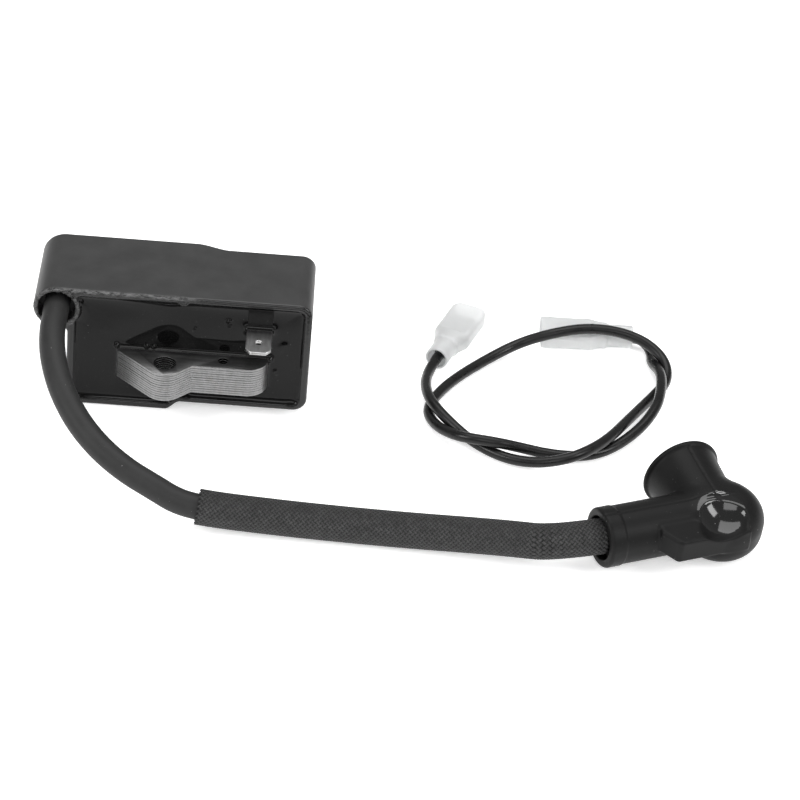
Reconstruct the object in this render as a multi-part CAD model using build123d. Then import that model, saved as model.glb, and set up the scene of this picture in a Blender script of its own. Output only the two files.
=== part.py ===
from build123d import *
from math import atan2, cos, degrees, pi, radians, sin, tan
import os

# Ignition module of a small engine, with its high-tension lead, right-angle plug boot and
# a loose kill-switch lead. Millimetres, +Z up. The module stands on the lower part of its
# case. The origin is under the middle of the module, on the surface it stands on.

# ---- case -------------------------------------------------------------------------
CASE_WIDTH = 60.0          # left wall to right wall
CASE_DEPTH = 26.0          # open front rim to back wall, coil side
BACK_STEP = 2.1            # the electronics side is this much shallower
CASE_HEIGHT = 33.75        # coil side
FOOT_STEP = 2.5            # the electronics side starts this much higher
FOOT_RAMP = (-5.2, -1.5)   # where the bottom steps up
BACK_RAMP = (0.0, 8.4)     # where the back steps forward
WALL = 1.8
CORNER_R = 3.6
RESIN_RECESS = 1.2         # resin surface below the rim
TOWER_R = 5.75             # lead tower, runs along the top left edge
TOWER_OUT = 2.7            # tower axis beyond the left wall
TOWER_BORE_R = 4.6
TOWER_DEPTH = 21.0
TOWER_FILLET = 2.0
GROMMET_START = 4.2        # grommet below the tower's mouth

# ---- laminated core ------------------------------------------------------------------
SHEET = 0.66               # one lamination
SHEETS = 12
CORE_Z = 9.5               # underside of the stack
LEG_WIDTH = 8.0
LEG_LEFT_X = -17.4
LEG_RIGHT_X = 19.9         # outer side of the right leg
YOKE_FRONT = 5.2           # yoke in front of the rim
YOKE_BACK = 3.5            # yoke behind the rim
POLE_REACH = 11.0          # legs beyond the back wall
FLYWHEEL_R = 46.0
AIR_GAP = 0.3
BOLT_R = 2.75              # M5 clearance
BOLT_FRONT = (-5.4, -4.7)
LOBE_R = 5.05
LOCATING_R = 1.25
LOCATING_HOLE = (8.8, -1.9)
REAR_EAR = 4.4             # rear bolt beyond the right leg's outer side
REAR_EAR_R = 4.7
REAR_EAR_BACK = 1.0        # ear's edge to the end of the leg
RIVET_R = 1.0
RIVET_Y = 2.25               # rivets in the yoke, behind the resin's surface
FLANK_Y = -0.5             # where the lobe's left flank starts on the leg
LOBE_RIGHT = 6.7           # foot of the right flank, beyond the front bolt
LOBE_FILLET = 0.8          # between the right flank and the straight front

# ---- coil -----------------------------------------------------------------------------
BOBBIN_WALL = 0.8
PRIMARY_BUILD = 1.9        # thickness of the primary winding
SECONDARY_BUILD = 2.4
FLANGE_PROUD = 0.2         # secondary bobbin's flanges above its winding
COIL_START = 4.0
COIL_END = 22.4
CHAMBERS = 3               # chambers of the secondary bobbin

# ---- electronics ------------------------------------------------------------------------
BOARD = (27.0, 16.0, 1.2)
BOARD_X, BOARD_Y = 0.6, 5.0
TAB_WIDTH = 6.3
TAB_THICK = 0.8
TAB_CENTRE_X = 17.25
TAB_Z = 24.9               # underside of the tab, top of the board
TAB_REACH = 9.3            # beyond the rim
TAB_HOLE_R = 0.9
TAB_HOLE_FROM_TIP = 4.3
TAB_CHAMFER = (1.2, 1.5)   # the tip's corners
TAB_ON_BOARD = 3.0
STRAP_WIDTH = 3.0          # earth strap
STRAP_THICK = 0.5
STRAP_Y = 8.0
STRAP_FOOT = 4.0
STRAP_HEAD = 3.0

# ---- high-tension lead ---------------------------------------------------------------------
LEAD_R = 3.15
STRAND_R = 0.8
LEAD_IN_TOWER = 13.0
SPIKE_R = 0.7
SPIKE_IN_LEAD = 2.0
SPIKE_PLATE = 0.8
SLEEVE_R = 4.375
SLEEVE_BORE_R = 3.35
SLEEVE_FROM = 9            # route point just before the sleeve starts
SLEEVE_END_GAP = 0.6       # from the sleeve's end to the boot

# ---- plug boot, in its own frame: lead arm along -X, plug arm along +Y -------------------------
ARM_R = 7.1
ARM_LENGTH = 29.5          # lead arm's end face to the elbow's centre
ARM_RING = 4.0
PUCK_R = 10.6              # rounded outer corner of the elbow
PUCK_HALF = 7.4
PUCK_ROUND = 6.4
PUCK_OUT = (1.8, -1.6)
NECK_R = 8.1
PLUG_ARM = 17.0
RIM_R = 9.9
RIM = 1.2
MOUTH_R = 8.2
PLUG_BORE_R = 5.3          # grips the plug's insulator
PLUG_BORE = (4.5, 10.5)
CHAMBER_R = 4.6
CHAMBER_BACK = -4.0
GRIP = (-17.0, 4.0, -9.6, -3.6, 2.8)     # grip block: x0, x1, front y, z0, z1
GRIP_SLOPE = 3.0
RUNNING_GAP = 0.08
BORE_LEAD_IN = 2.0
SPRING_R = 3.6
SPRING_WIRE_R = 0.45
SPRING_TIE_R = 0.35
SPRING_TURNS = 5
SPRING_PITCH = 1.5
LEAD_IN_BOOT = 21.5
PRONG_IN_LEAD = 4.0

# ---- kill-switch lead ------------------------------------------------------------------------
WIRE_R = 1.35
WIRE_STRAND_R = 0.6
WIRE_STRAIGHT = 1.4             # straight wire behind each terminal cover
CLIP_SIZE = (8.5, 7.4, 2.9)     # female receptacle: length, width, height
CLIP_SLOT = (6.6, 1.0)
CLIP_START = 4.0
CRIMP_R = 1.85
CRIMP = (-4.5, -1.5)
JACKET_END = -1.0
STRAND_END = 3.0
STRIP = 0.4
COVER = (16.8, 9.6, 5.1)        # terminal cover's body: length, width, height
COVER_WALL = 0.55
COVER_ROUND = 1.6               # edges along the cover
COVER_NECK_R = 3.0
COVER_NECK = 7.2
COVER_SHOULDER = 1.4

# ---- derived ------------------------------------------------------------------------------
STACK = SHEET * SHEETS
CORE_TOP = CORE_Z + STACK
HALF = CASE_WIDTH / 2
BACK = CASE_DEPTH + POLE_REACH
FRONT = -BOLT_FRONT[1] + LOBE_R
TOWER_X = -HALF - TOWER_OUT
TOWER_Z = CASE_HEIGHT - TOWER_R
DATUM = Vector((TOWER_R - TOWER_X - HALF) / 2, (FRONT - BACK) / 2, 0)
LEG_X = LEG_LEFT_X + LEG_WIDTH / 2
LEG_Z = CORE_Z + STACK / 2
EXIT = DATUM + Vector(TOWER_X, 0, TOWER_Z)


def block(x0, x1, y0, y1, z0, z1):
    size = (x1 - x0, y1 - y0, z1 - z0)
    return Pos(x0, y0, z0) * Box(*size, align=(Align.MIN,) * 3)


def rod(radius, start, end):
    start, end = Vector(start), Vector(end)
    plane = Plane(origin=start, z_dir=end - start)
    return Solid.make_cylinder(radius, (end - start).length, plane)


def ring(outer, inner, start, end):
    return rod(outer, start, end) - rod(inner, start, end)


def upright(outline, y0, y1):
    """A shape drawn in X and Z, made solid between two values of Y."""
    face = Plane(origin=(0, y0, 0), x_dir=(1, 0, 0), z_dir=(0, -1, 0)) * outline
    return extrude(face, amount=-(y1 - y0))


def flat(outline, z0, z1):
    """A shape drawn in X and Y, made solid between two values of Z."""
    return extrude(Pos(0, 0, z0) * outline, amount=z1 - z0)


# ---- case and resin -----------------------------------------------------------------------
def case_outline(inset):
    left, right = -HALF + inset, HALF - inset
    foot, top = inset, CASE_HEIGHT - inset
    corners = [(left, foot), (FOOT_RAMP[0], foot), (FOOT_RAMP[1], foot + FOOT_STEP),
               (right, foot + FOOT_STEP), (right, top), (left, top)]
    outline = make_face(Polyline(*corners, close=True))
    radius = CORNER_R - inset
    picked = [v for v in outline.vertices() if abs(v.X - right) < 0.01]
    picked += [v for v in outline.vertices() if abs(v.X - left) < 0.01 and (inset or v.Y < 1)]
    return fillet(picked, radius)


def plan_outline(inset):
    """The back of the case seen from above, stepped forward behind the electronics."""
    reach = HALF + TOWER_OUT + TOWER_R + 1
    deep, shallow = CASE_DEPTH - inset, CASE_DEPTH - BACK_STEP - inset
    corners = [(-reach, 0), (reach, 0), (reach, shallow), (BACK_RAMP[1], shallow),
               (BACK_RAMP[0], deep), (-reach, deep)]
    outline = make_face(Polyline(*corners, close=True))
    ramp = [v for v in outline.vertices() if v.X in BACK_RAMP]
    return fillet(ramp, CORNER_R)


def case_solid():
    outline = case_outline(0) + Pos(TOWER_X, TOWER_Z) * Circle(TOWER_R)
    notch = [v for v in outline.vertices() if abs(v.X + HALF) < 0.01 and 5 < v.Y < TOWER_Z]
    outline = fillet(notch, TOWER_FILLET)
    return upright(outline, 0, CASE_DEPTH) & flat(plan_outline(0), -1, CASE_HEIGHT + 1)


def cavity(front):
    inner = upright(case_outline(WALL), front, CASE_DEPTH)
    inner &= flat(plan_outline(WALL), -1, CASE_HEIGHT + 1)
    return inner - rod(TOWER_R, tower_axis(front - 1), tower_axis(CASE_DEPTH))


def tower_axis(y):
    return (TOWER_X, y, TOWER_Z)


def case_shell():
    shell = case_solid() - cavity(-1)
    shell -= rod(TOWER_BORE_R, tower_axis(-1), tower_axis(TOWER_DEPTH))
    return shell - core_blank() - ht_link()


# ---- core ------------------------------------------------------------------------------------
def touch_point(x, y, side):
    """Where a flank from this point touches the lobe's circle, on its front."""
    dx, dy = BOLT_FRONT[0] - x, BOLT_FRONT[1] - y
    reach = (dx ** 2 + dy ** 2 - LOBE_R ** 2) ** 0.5
    turn = atan2(dy, dx) + side * atan2(LOBE_R, reach)
    return x + reach * cos(turn), y + reach * sin(turn)


def core_outline():
    left, right = LEG_LEFT_X, LEG_RIGHT_X
    inner_left, inner_right = left + LEG_WIDTH, right - LEG_WIDTH
    lobe_x, lobe_y = BOLT_FRONT
    start, end = (left, FLANK_Y), (lobe_x + LOBE_RIGHT, -YOKE_FRONT)
    yoke = Polyline(start, touch_point(*start, -1), touch_point(*end, 1), end,
                    (right, -YOKE_FRONT), (right, YOKE_BACK), (left, YOKE_BACK), close=True)
    outline = make_face(yoke)
    corner = [v for v in outline.vertices() if v.X > right - 1 and v.Y < 0]
    outline = fillet(corner, YOKE_FRONT)
    outline += Pos(lobe_x, lobe_y) * Circle(LOBE_R)
    notch = outline.vertices().sort_by_distance((*end, 0))[0]
    outline = fillet(notch, LOBE_FILLET)
    for x0 in (left, inner_right):
        outline += Pos(x0, 0) * Rectangle(LEG_WIDTH, BACK, align=(Align.MIN, Align.MIN))
    ear_x, ear_y = rear_bolt()
    outline += Pos(ear_x, ear_y) * Circle(REAR_EAR_R)
    outline += Pos(right - 1, ear_y - REAR_EAR_R) * Rectangle(
        REAR_EAR + 1, 2 * REAR_EAR_R, align=(Align.MIN, Align.MIN))
    swept = FLYWHEEL_R + AIR_GAP
    half_span = (right - left) / 2
    return outline - Pos(left + half_span, BACK + (swept ** 2 - half_span ** 2) ** 0.5) * Circle(swept)


def rear_bolt():
    return (LEG_RIGHT_X + REAR_EAR, BACK - REAR_EAR_R - REAR_EAR_BACK)


def core_blank():
    return flat(core_outline(), CORE_Z, CORE_TOP)


def rivet_places():
    middle = (LEG_LEFT_X + LEG_RIGHT_X) / 2
    pole = (LEG_RIGHT_X - LEG_WIDTH / 2, BACK - REAR_EAR_R)
    return [(LEG_X, RIVET_Y), (middle, RIVET_Y), pole]


def core_stack():
    holes = [(BOLT_FRONT, BOLT_R), (rear_bolt(), BOLT_R), (LOCATING_HOLE, LOCATING_R)]
    holes += [(place, RIVET_R) for place in rivet_places()]
    outline = core_outline()
    for (x, y), radius in holes:
        outline -= Pos(x, y) * Circle(radius)
    return flat(outline, CORE_Z, CORE_TOP)


def core_rivets():
    return [rod(RIVET_R, (x, y, CORE_Z), (x, y, CORE_TOP)) for x, y in rivet_places()]


# ---- coil on the left leg ---------------------------------------------------------------------
def leg_ring(inner, outer, y0, y1, corner=0.0):
    """A square ring round the left leg; inner and outer are distances from the leg's sides."""
    def square(grow):
        shape = Rectangle(LEG_WIDTH + 2 * grow, STACK + 2 * grow)
        return fillet(shape.vertices(), corner + grow) if grow > 0 and corner else shape
    return upright(Pos(LEG_X, LEG_Z) * (square(outer) - square(inner)), y0, y1)


def bobbin(inner, height, chambers):
    wall = inner + BOBBIN_WALL
    solid = leg_ring(inner, wall, COIL_START, COIL_END)
    pitch = (COIL_END - COIL_START - BOBBIN_WALL) / chambers
    for i in range(chambers + 1):
        y = COIL_START + i * pitch
        solid += leg_ring(inner, wall + height, y, y + BOBBIN_WALL)
    return solid


def winding(inner, height, chambers):
    pitch = (COIL_END - COIL_START - BOBBIN_WALL) / chambers
    turns = []
    for i in range(chambers):
        y = COIL_START + i * pitch
        turns.append(leg_ring(inner, inner + height, y + BOBBIN_WALL, y + pitch))
    return turns


PRIMARY_IN = BOBBIN_WALL
SECONDARY_BOBBIN_IN = PRIMARY_IN + PRIMARY_BUILD
SECONDARY_IN = SECONDARY_BOBBIN_IN + BOBBIN_WALL
COIL_TOP = LEG_Z + STACK / 2 + SECONDARY_IN + SECONDARY_BUILD


def primary_bobbin():
    return bobbin(0, PRIMARY_BUILD, 1)


def primary_winding():
    return winding(PRIMARY_IN, PRIMARY_BUILD, 1)


def secondary_bobbin():
    return bobbin(SECONDARY_BOBBIN_IN, SECONDARY_BUILD + FLANGE_PROUD, CHAMBERS)


def secondary_winding():
    return winding(SECONDARY_IN, SECONDARY_BUILD, CHAMBERS)


# ---- electronics -------------------------------------------------------------------------------
def on_board(dx, dy, length, width, height):
    x, y = BOARD_X + dx, BOARD_Y + dy
    return block(x, x + length, y, y + width, TAB_Z, TAB_Z + height)


def control_board():
    length, width, thick = BOARD
    return block(BOARD_X, BOARD_X + length, BOARD_Y, BOARD_Y + width, TAB_Z - thick, TAB_Z)


def switching_transistor():
    return on_board(1.5, 5.5, 9.0, 8.5, 4.4)


def control_ic():
    return on_board(14.5, 8.0, 5.0, 6.0, 1.8)


def lying_part(dx, dy, radius, length):
    start = (BOARD_X + dx, BOARD_Y + dy, TAB_Z + radius)
    return rod(radius, start, (start[0] + length, start[1], start[2]))


def board_resistors():
    return [lying_part(20.5, 8.4, 1.1, 5.5), lying_part(20.5, 11.4, 1.1, 5.5)]


def storage_capacitor():
    return lying_part(1.5, 2.7, 2.3, 9.0)


def clamp_diode():
    return lying_part(20.5, 14.0, 1.1, 5.5)


def earth_strap():
    """A bent strip from the board's underside to the top of the right leg."""
    x = LEG_RIGHT_X - LEG_WIDTH / 2
    under = TAB_Z - BOARD[2]
    thick, half = STRAP_THICK, STRAP_WIDTH / 2
    foot = block(x - half, x + half, STRAP_Y, STRAP_Y + STRAP_FOOT, CORE_TOP, CORE_TOP + thick)
    riser = block(x - half, x + half, STRAP_Y, STRAP_Y + thick, CORE_TOP, under)
    head = block(x - half, x + half, STRAP_Y, STRAP_Y + STRAP_HEAD, under - thick, under)
    return foot + riser + head


def spade_tab():
    half, end = TAB_WIDTH / 2, BOARD_Y + TAB_ON_BOARD
    across, along = TAB_CHAMFER
    blade = Polyline((-half, end), (-half, -TAB_REACH + along), (-half + across, -TAB_REACH),
                     (half - across, -TAB_REACH), (half, -TAB_REACH + along), (half, end),
                     close=True)
    face = make_face(blade) - Pos(0, TAB_HOLE_FROM_TIP - TAB_REACH) * Circle(TAB_HOLE_R)
    return flat(Pos(TAB_CENTRE_X, 0) * face, TAB_Z, TAB_Z + TAB_THICK)


# ---- high-tension outlet ------------------------------------------------------------------------
LINK = 1.2
LINK_Y = 19.6


def ht_link():
    """A bar from the top of the secondary winding, through the wall, to the spike."""
    half = LINK / 2
    top = TOWER_Z + half
    across = block(TOWER_X + SPIKE_R, LEG_X + half, LINK_Y - half, LINK_Y + half,
                   TOWER_Z - half, top)
    down = block(LEG_X - half, LEG_X + half, LINK_Y - half, LINK_Y + half, COIL_TOP, top)
    return across + down


def ht_spike():
    tip = LEAD_IN_TOWER - SPIKE_IN_LEAD
    pin = rod(SPIKE_R, tower_axis(tip), tower_axis(TOWER_DEPTH - SPIKE_PLATE))
    plate = rod(TOWER_BORE_R, tower_axis(TOWER_DEPTH - SPIKE_PLATE), tower_axis(TOWER_DEPTH))
    return pin + plate - ht_link()


def ht_grommet():
    plug = rod(TOWER_BORE_R, tower_axis(GROMMET_START), tower_axis(TOWER_DEPTH - SPIKE_PLATE))
    plug -= rod(LEAD_R, tower_axis(0), tower_axis(LEAD_IN_TOWER))
    return plug - rod(SPIKE_R, tower_axis(0), tower_axis(TOWER_DEPTH)) - ht_link()


def potting_resin():
    resin = cavity(RESIN_RECESS)
    bare = [core_blank(), primary_bobbin(), secondary_bobbin(), control_board(), spade_tab(),
            switching_transistor(), control_ic(), storage_capacitor(), clamp_diode(),
            earth_strap(), ht_link()]
    groups = [primary_winding(), secondary_winding(), board_resistors()]
    for solid in bare + [piece for group in groups for piece in group]:
        resin -= solid
    return resin


# ---- cords ----------------------------------------------------------------------------------------
def corner_radii(points):
    """0.45 of the shorter run at each corner, over the tangent of half the turn."""
    radii = []
    for a, b, c in zip(points, points[1:], points[2:]):
        before, after = b - a, c - b
        half_turn = radians(before.get_angle(after)) / 2
        radii.append(0.45 * min(before.length, after.length) / tan(half_turn))
    return radii


def tube(points, radii, outer, inner=0.0):
    path = FilletPolyline(*points, radius=radii)
    start = Plane(origin=path @ 0, z_dir=path % 0)
    solid = sweep(start * Circle(outer), path=path)
    if inner:
        solid -= sweep(start * Circle(inner), path=path)
    return solid, path.length


# High-tension lead: steps from the tower's mouth, as (x, y, share of the tower's height
# above the lead's lowest stretch), then points on the floor as (x, y, height).
LEAD_LOW = 4.5
LEAD_FALL = [(-0.3, -8.5, 0.95), (0.9, -17.0, 0.85), (3.9, -24.9, 0.705), (8.6, -32.0, 0.545),
             (14.6, -38.0, 0.405), (21.2, -42.4, 0.285), (27.5, -45.1, 0.2)]
LEAD_FLOOR = [(34.4, -46.8, 7.3), (42.6, -47.6, 5.8), (53.0, -47.8, 4.9), (66.0, -48.0, 4.5),
              (86.8, -48.8, 4.5), (110.5, -50.9, 6.1)]
BOOT_FACE = (133.9, -50.8, 8.3)     # centre of the lead arm's end, from the tower's mouth
BOOT_HEADING = 23.0
BOOT_RUN = 9.0                      # straight run in front of the boot


def boot_direction():
    return Vector(cos(radians(BOOT_HEADING)), sin(radians(BOOT_HEADING)), 0)


def boot_face():
    x, y, z = BOOT_FACE
    return Vector(EXIT.X + x, EXIT.Y + y, z)


def lead_points():
    points = [EXIT + Vector(0, LEAD_IN_TOWER, 0), EXIT]
    for x, y, share in LEAD_FALL:
        height = LEAD_LOW + share * (EXIT.Z - LEAD_LOW)
        points.append(Vector(EXIT.X + x, EXIT.Y + y, height))
    for x, y, z in LEAD_FLOOR:
        points.append(Vector(EXIT.X + x, EXIT.Y + y, z))
    points.append(boot_face() - BOOT_RUN * boot_direction())
    points.append(boot_face() + LEAD_IN_BOOT * boot_direction())
    return points


def moved_end(points, radii, cut_start, cut_end):
    """The same route, shortened at its two ends."""
    first = points[0] + (points[1] - points[0]).normalized() * cut_start
    last = points[-1] + (points[-2] - points[-1]).normalized() * cut_end
    return [first] + points[1:-1] + [last], radii


def ht_lead():
    points = lead_points()
    return tube(points, corner_radii(points), LEAD_R, STRAND_R)


def ht_conductor():
    points = lead_points()
    cut = moved_end(points, corner_radii(points), SPIKE_IN_LEAD, PRONG_IN_LEAD + 0.3)
    return tube(*cut, STRAND_R)


def braided_sleeve():
    points = lead_points()
    radii = corner_radii(points)
    middle = (points[SLEEVE_FROM] + points[SLEEVE_FROM + 1]) / 2
    rest = [middle] + points[SLEEVE_FROM + 1:]
    cut = moved_end(rest, radii[SLEEVE_FROM:], 0, LEAD_IN_BOOT + SLEEVE_END_GAP)
    return tube(*cut, SLEEVE_R, SLEEVE_BORE_R)


# ---- plug boot ----------------------------------------------------------------------------------------
def boot_place():
    """The boot lies on the rim of its mouth, so it is tipped about the lead."""
    centre = boot_face() + ARM_LENGTH * boot_direction()
    lean = asin_degrees((RIM_R - centre.Z) / PLUG_ARM)
    return Location(tuple(centre)) * Rot(0, 0, BOOT_HEADING) * Rot(lean, 0, 0)


def asin_degrees(value):
    return degrees(atan2(value, (1 - value * value) ** 0.5))


def boot_elbow():
    x0, x1, front, z0, z1 = GRIP
    body = rod(ARM_R, (-ARM_LENGTH, 0, 0), (0, 0, 0))
    body += rod(ARM_R + 0.15, (-ARM_LENGTH, 0, 0), (-ARM_LENGTH + ARM_RING, 0, 0))
    puck = Pos(*PUCK_OUT, 0) * Cylinder(PUCK_R, 2 * PUCK_HALF)
    body += fillet(puck.edges().filter_by(GeomType.CIRCLE), PUCK_ROUND)
    length = PLUG_ARM - RIM
    cone = Plane.XZ * Cone(NECK_R, RIM_R - 0.6, length, align=(Align.CENTER, Align.CENTER, Align.MIN))
    body += Rot(0, 0, 180) * cone
    body += rod(RIM_R, (0, length, 0), (0, PLUG_ARM, 0))
    grip = Polyline((x0, 0), (x0, front + GRIP_SLOPE), (x0 + GRIP_SLOPE, front), (x1, front),
                    (x1, 0), close=True)
    body += flat(make_face(grip), z0, z1)
    bore = LEAD_R + RUNNING_GAP
    body -= rod(bore, (-ARM_LENGTH, 0, 0), (0, 0, 0))
    body -= rod(bore + 0.3, (-ARM_LENGTH, 0, 0), (-ARM_LENGTH + BORE_LEAD_IN, 0, 0))
    body -= rod(CHAMBER_R, (0, CHAMBER_BACK, 0), (0, PLUG_BORE[0], 0))
    body -= rod(PLUG_BORE_R, (0, PLUG_BORE[0], 0), (0, PLUG_BORE[1], 0))
    flare = Cone(PLUG_BORE_R, MOUTH_R, PLUG_ARM - PLUG_BORE[1],
                 align=(Align.CENTER, Align.CENTER, Align.MIN))
    body -= Pos(0, PLUG_BORE[1], 0) * Rot(-90, 0, 0) * flare
    return body


def contact_spring():
    first = -SPRING_PITCH * (SPRING_TURNS - 1) / 2
    turns = [Pos(0, first + SPRING_PITCH * i, 0) * Rot(90, 0, 0) * Torus(SPRING_R, SPRING_WIRE_R)
             for i in range(SPRING_TURNS)]
    spring = turns[0]
    for turn in turns[1:]:
        spring += turn
    last = first + SPRING_PITCH * (SPRING_TURNS - 1)
    spring += rod(SPRING_TIE_R, (SPRING_R, first, 0), (SPRING_R, last, 0))
    lead_end = -ARM_LENGTH + LEAD_IN_BOOT
    return spring + rod(SPRING_TIE_R, (lead_end - PRONG_IN_LEAD, 0, 0), (-SPRING_R, 0, 0))


# ---- kill-switch lead ------------------------------------------------------------------------------------
# Each end: where the terminal's frame stands and the direction its mouth faces, in degrees.
# The height is the terminal cover's neck lying on the floor.
KILL_A = (69.5, 20.25, 68.7)
KILL_B = (111.0, 30.2, 182.0)
KILL_ROUTE = [
    (64.7, 7.0, 2.7), (64.0, 0.3, 3.6), (65.3, -7.9, 4.7), (69.8, -14.4, 3.7),
    (76.2, -19.9, 1.5), (83.8, -25.4, 1.4), (91.0, -28.0, 2.3), (97.6, -28.5, 4.0),
    (103.4, -25.8, 4.8), (109.7, -19.2, 4.7), (116.2, -6.4, 3.0), (122.7, 6.0, 1.4),
    (126.9, 12.9, 1.6), (126.5, 19.3, 3.6), (121.8, 23.9, 5.8), (114.7, 26.1, 7.2),
    (105.8, 25.8, 7.9), (96.9, 23.5, 7.0), (88.3, 23.5, 3.1), (79.4, 16.6, 1.4),
    (71.5, 7.1, 1.4), (67.0, -0.6, 1.4), (64.6, -7.4, 1.5), (66.6, -14.4, 2.0),
    (71.4, -20.4, 3.6), (76.2, -22.9, 4.7), (80.9, -23.4, 4.6), (86.9, -22.6, 3.1),
    (95.3, -22.7, 1.5), (103.4, -22.6, 1.4), (110.8, -18.9, 1.5), (118.1, -11.7, 3.0),
    (122.7, -3.9, 4.7), (124.4, 4.2, 5.0), (124.8, 12.6, 4.7), (123.0, 20.2, 2.1),
    (123.3, 24.6, 1.6), (122.4, 28.2, 2.1)]


def terminal_place(end):
    x, y, heading = end
    return Location((x, y, COVER_NECK_R)) * Rot(0, 0, heading)


def kill_points():
    """From one terminal's crimp to the other's; each end leaves its cover straight."""
    neck = -COVER_NECK - WIRE_STRAIGHT
    ends = []
    for end in (KILL_A, KILL_B):
        place = terminal_place(end)
        ends.append([Vector(*(place * Pos(x, 0, 0)).position) for x in (JACKET_END, neck)])
    middle = [Vector(*point) for point in KILL_ROUTE]
    return ends[0] + middle + ends[1][::-1]


def kill_wire():
    points = kill_points()
    return tube(points, corner_radii(points), WIRE_R, WIRE_STRAND_R)


def kill_conductor():
    points = kill_points()
    cut = moved_end(points, corner_radii(points), JACKET_END - STRAND_END, JACKET_END - STRAND_END)
    return tube(*cut, WIRE_STRAND_R)


def terminal():
    """A female spade receptacle with its two crimps, mouth towards +X."""
    length, width, height = CLIP_SIZE
    slot_width, slot_height = CLIP_SLOT
    end = CLIP_START + length
    clip = block(CLIP_START, end, -width / 2, width / 2, -height / 2, height / 2)
    clip -= block(CLIP_START, end, -slot_width / 2, slot_width / 2,
                  -height / 2 + STRIP, -height / 2 + STRIP + slot_height)
    clip -= block(CLIP_START, end, -1.0, 1.0, 0, height)
    strip = block(CRIMP[0], CLIP_START + 0.5, -1.1, 1.1, -height / 2, -height / 2 + STRIP)
    grip = ring(CRIMP_R, WIRE_R, (CRIMP[0], 0, 0), (CRIMP[1], 0, 0))
    barrel = ring(WIRE_STRAND_R + 0.95, WIRE_STRAND_R, (-0.4, 0, 0), (STRAND_END, 0, 0))
    jacket = rod(WIRE_R, (CRIMP[0], 0, 0), (JACKET_END, 0, 0))
    return clip + (strip - jacket) + grip + barrel


def terminal_cover():
    length, width, height = COVER
    body = Box(length, width, height, align=(Align.MIN, Align.CENTER, Align.CENTER))
    body = fillet(body.edges().filter_by(Axis.X), COVER_ROUND)
    inner = Pos(COVER_SHOULDER, 0, 0) * Box(
        length, width - 2 * COVER_WALL, height - 2 * COVER_WALL,
        align=(Align.MIN, Align.CENTER, Align.CENTER))
    inner = fillet(inner.edges().filter_by(Axis.X), COVER_ROUND - COVER_WALL)
    neck = (-COVER_NECK, 0, 0)
    cover = body + rod(COVER_NECK_R, neck, (0.5, 0, 0)) - inner
    return cover - rod(COVER_NECK_R - COVER_WALL, neck, (COVER_SHOULDER + 1, 0, 0))


# ---- nodes -------------------------------------------------------------------------------
def in_module(shape):
    parts = shape if isinstance(shape, list) else [shape]
    return [Pos(*DATUM) * part for part in parts]


def measured(name, result, outer, inner=0.0):
    solid, length = result
    section = pi * (outer ** 2 - inner ** 2)
    print(f"{name}: length {length:.1f} mm, volume {solid.volume:.0f} of {section * length:.0f}")
    return [solid]


def nodes():
    module = [case_shell, potting_resin, core_stack, core_rivets, primary_bobbin,
              primary_winding, secondary_bobbin, secondary_winding, control_board,
              switching_transistor, control_ic, board_resistors, storage_capacitor, clamp_diode,
              earth_strap, spade_tab, ht_link, ht_spike, ht_grommet]
    made = {make.__name__: in_module(make()) for make in module}
    made["ht_lead"] = measured("ht_lead", ht_lead(), LEAD_R, STRAND_R)
    made["ht_conductor"] = measured("ht_conductor", ht_conductor(), STRAND_R)
    made["braided_sleeve"] = measured("sleeve", braided_sleeve(), SLEEVE_R, SLEEVE_BORE_R)
    made["boot_elbow"] = [boot_place() * boot_elbow()]
    made["contact_spring"] = [boot_place() * contact_spring()]
    made["kill_wire"] = measured("kill_wire", kill_wire(), WIRE_R, WIRE_STRAND_R)
    made["kill_conductor"] = measured("kill_conductor", kill_conductor(), WIRE_STRAND_R)
    for side, end in (("a", KILL_A), ("b", KILL_B)):
        made[f"terminal_{side}"] = [terminal_place(end) * terminal()]
        made[f"terminal_cover_{side}"] = [terminal_place(end) * terminal_cover()]
    return made


def write(made):
    os.makedirs("parts", exist_ok=True)
    for name, shapes in made.items():
        solids = [solid for shape in shapes for solid in shape.solids()]
        whole = solids[0] if len(solids) == 1 else Compound(children=solids)
        export_step(whole, f"parts/{name}.step")


for name, route in (("ht_lead", lead_points()), ("kill_wire", kill_points())):
    print(name, "radii", [round(radius, 1) for radius in corner_radii(route)])
write(nodes())
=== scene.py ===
from math import asin, cos, pi, radians, sin, sqrt
import bmesh
import bpy
import numpy as np
from mathutils import Matrix, Vector, noise


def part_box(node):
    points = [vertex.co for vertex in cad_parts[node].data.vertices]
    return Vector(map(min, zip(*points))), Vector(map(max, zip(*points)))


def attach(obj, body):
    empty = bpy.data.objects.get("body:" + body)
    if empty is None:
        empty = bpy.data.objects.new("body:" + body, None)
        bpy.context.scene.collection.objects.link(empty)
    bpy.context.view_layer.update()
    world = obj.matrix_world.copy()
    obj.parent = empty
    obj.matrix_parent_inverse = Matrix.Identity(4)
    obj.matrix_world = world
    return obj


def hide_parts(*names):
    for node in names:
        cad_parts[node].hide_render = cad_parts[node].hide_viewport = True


# Looks of the ignition module, its high-tension lead with the plug boot, and the loose
# kill-switch lead. Shapes are worked out in millimetres in the shared frame: x to the right,
# y from the potted face to the back of the case, z up from the floor.

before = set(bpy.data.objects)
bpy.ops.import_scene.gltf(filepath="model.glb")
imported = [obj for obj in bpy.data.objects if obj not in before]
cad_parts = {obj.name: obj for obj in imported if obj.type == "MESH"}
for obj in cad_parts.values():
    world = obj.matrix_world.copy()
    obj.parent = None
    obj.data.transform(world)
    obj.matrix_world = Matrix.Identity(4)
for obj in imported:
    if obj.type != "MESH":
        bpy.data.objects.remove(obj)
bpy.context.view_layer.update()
MM = 0.001
SEED_STEP = 17.3     # how far apart the noises of two seeds are sampled


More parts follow.
